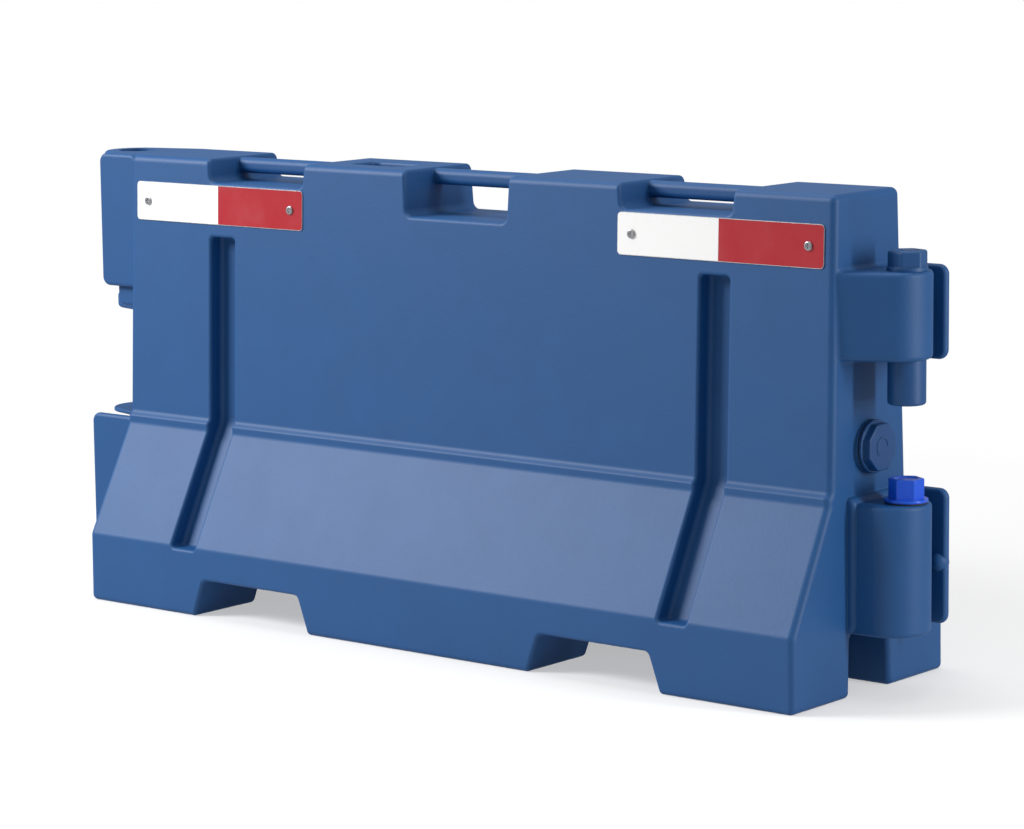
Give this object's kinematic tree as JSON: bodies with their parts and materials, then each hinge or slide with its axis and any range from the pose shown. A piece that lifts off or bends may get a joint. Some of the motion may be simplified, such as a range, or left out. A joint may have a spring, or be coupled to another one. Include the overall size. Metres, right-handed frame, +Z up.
{
  "type": "water filled barrier",
  "caption": "Hollow plastic road barrier with screw plugs, fork slots, grab bars, reflector strips and a pinned end coupling.",
  "frame": {"origin": "on the ground under the middle of the overall length, coupling lugs included", "axes": "+X along the body to the end with the knuckle and barrel, -Y the front, +Z up"},
  "size_m": [2.226, 0.536, 1],
  "materials": {
    "shell": "satin moulded polyethylene",
    "pin": "satin moulded polyethylene",
    "plug": "satin moulded polypropylene",
    "cap": "satin moulded polypropylene",
    "lock_plug": "glossy moulded polypropylene",
    "seal": "black rubber",
    "plate": "satin aluminium sheet",
    "white_sheet": "glossy white prismatic sheet",
    "red_sheet": "glossy red prismatic sheet",
    "screw": "plain stainless steel",
    "brass": "turned brass"
  },
  "bodies": {
    "tank": {"tank_shell": "shell", "reflector_screws": "screw", "reflector_inserts": "brass", "reflector_plate_front_left": "plate", "reflector_white_front_left": "white_sheet", "reflector_red_front_left": "red_sheet", "reflector_plate_front_right": "plate", "reflector_white_front_right": "white_sheet", "reflector_red_front_right": "red_sheet", "reflector_plate_back_left": "plate", "reflector_white_back_left": "white_sheet", "reflector_red_back_left": "red_sheet", "reflector_plate_back_right": "plate", "reflector_white_back_right": "white_sheet", "reflector_red_back_right": "red_sheet"},
    "end_plug_seal": {"end_plug_seal": "seal"},
    "end_plug": {"end_plug": "plug"},
    "drain_plug_seal": {"drain_plug_seal": "seal"},
    "drain_plug": {"drain_plug": "plug"},
    "fill_cap_seal": {"fill_cap_seal": "seal"},
    "fill_cap": {"fill_cap": "cap"},
    "locking_plug_seal": {"locking_plug_seal": "seal"},
    "locking_plug": {"locking_plug": "lock_plug"},
    "coupling_pin": {"coupling_pin": "pin"}
  },
  "joints": [
    {"name": "end_plug_lift", "type": "slide", "parent": "tank", "child": "end_plug_seal", "axis": [1, 0, 0], "range_m": [0, 0.009]},
    {"name": "end_plug_turn", "type": "hinge", "parent": "end_plug_seal", "child": "end_plug", "pos_m": [0.987, 0, 0.497], "axis": [1, 0, 0], "range_deg": [0, 720]},
    {"name": "drain_plug_lift", "type": "slide", "parent": "tank", "child": "drain_plug_seal", "axis": [-1, 0, 0], "range_m": [0, 0.028]},
    {"name": "drain_plug_turn", "type": "hinge", "parent": "drain_plug_seal", "child": "drain_plug", "pos_m": [-0.957, 0.17, 0.062], "axis": [-1, 0, 0], "range_deg": [0, 2520]},
    {"name": "fill_cap_lift", "type": "slide", "parent": "tank", "child": "fill_cap_seal", "axis": [0, 0, 1], "range_m": [0, 0.032]},
    {"name": "fill_cap_turn", "type": "hinge", "parent": "fill_cap_seal", "child": "fill_cap", "pos_m": [-0.2725, 0, 0.954], "axis": [0, 0, 1], "range_deg": [0, 2880]},
    {"name": "locking_plug_lift", "type": "slide", "parent": "tank", "child": "locking_plug_seal", "axis": [0, 0, 1], "range_m": [0, 0.128]},
    {"name": "locking_plug_turn", "type": "hinge", "parent": "locking_plug_seal", "child": "locking_plug", "pos_m": [1.067, 0, 0.392], "axis": [0, 0, 1], "range_deg": [0, 5760]},
    {"name": "coupling_pin_lift", "type": "slide", "parent": "tank", "child": "coupling_pin", "axis": [0, 0, 1], "range_m": [0, 0.3]}
  ],
  "couplings": [
    {"joint": "end_plug_lift", "follows": "end_plug_turn", "m_per_rad": 0.0007162},
    {"joint": "drain_plug_lift", "follows": "drain_plug_turn", "m_per_rad": 0.00063662},
    {"joint": "fill_cap_lift", "follows": "fill_cap_turn", "m_per_rad": 0.00063662},
    {"joint": "locking_plug_lift", "follows": "locking_plug_turn", "m_per_rad": 0.0012732}
  ]
}
